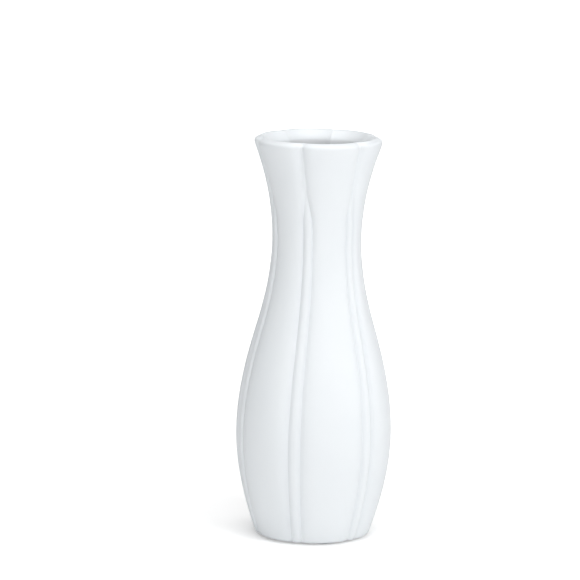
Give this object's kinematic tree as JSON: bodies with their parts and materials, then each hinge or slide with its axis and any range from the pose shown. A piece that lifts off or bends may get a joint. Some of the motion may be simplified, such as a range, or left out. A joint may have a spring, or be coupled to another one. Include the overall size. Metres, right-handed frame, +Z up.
{
  "type": "bud vase",
  "caption": "Slender lobed ceramic bud vase: round belly, narrow neck and flared lip, a raised rib in each valley between the lobes, standing on thin foot pads.",
  "frame": {"origin": "on the vase's axis, at the table surface that the foot pads rest on", "axes": "+Z up the vase's axis; a rib faces -Y, and lobe crowns face +X and -X"},
  "size_m": [0.059, 0.058, 0.152],
  "materials": {
    "white_glaze": "satin matt white glaze, unglazed on the foot ring",
    "foot_pad": "translucent matt silicone"
  },
  "bodies": {
    "root": {"vase_body": "white_glaze", "foot_pad_left": "foot_pad", "foot_pad_front": "foot_pad", "foot_pad_rear": "foot_pad"}
  },
  "joints": []
}
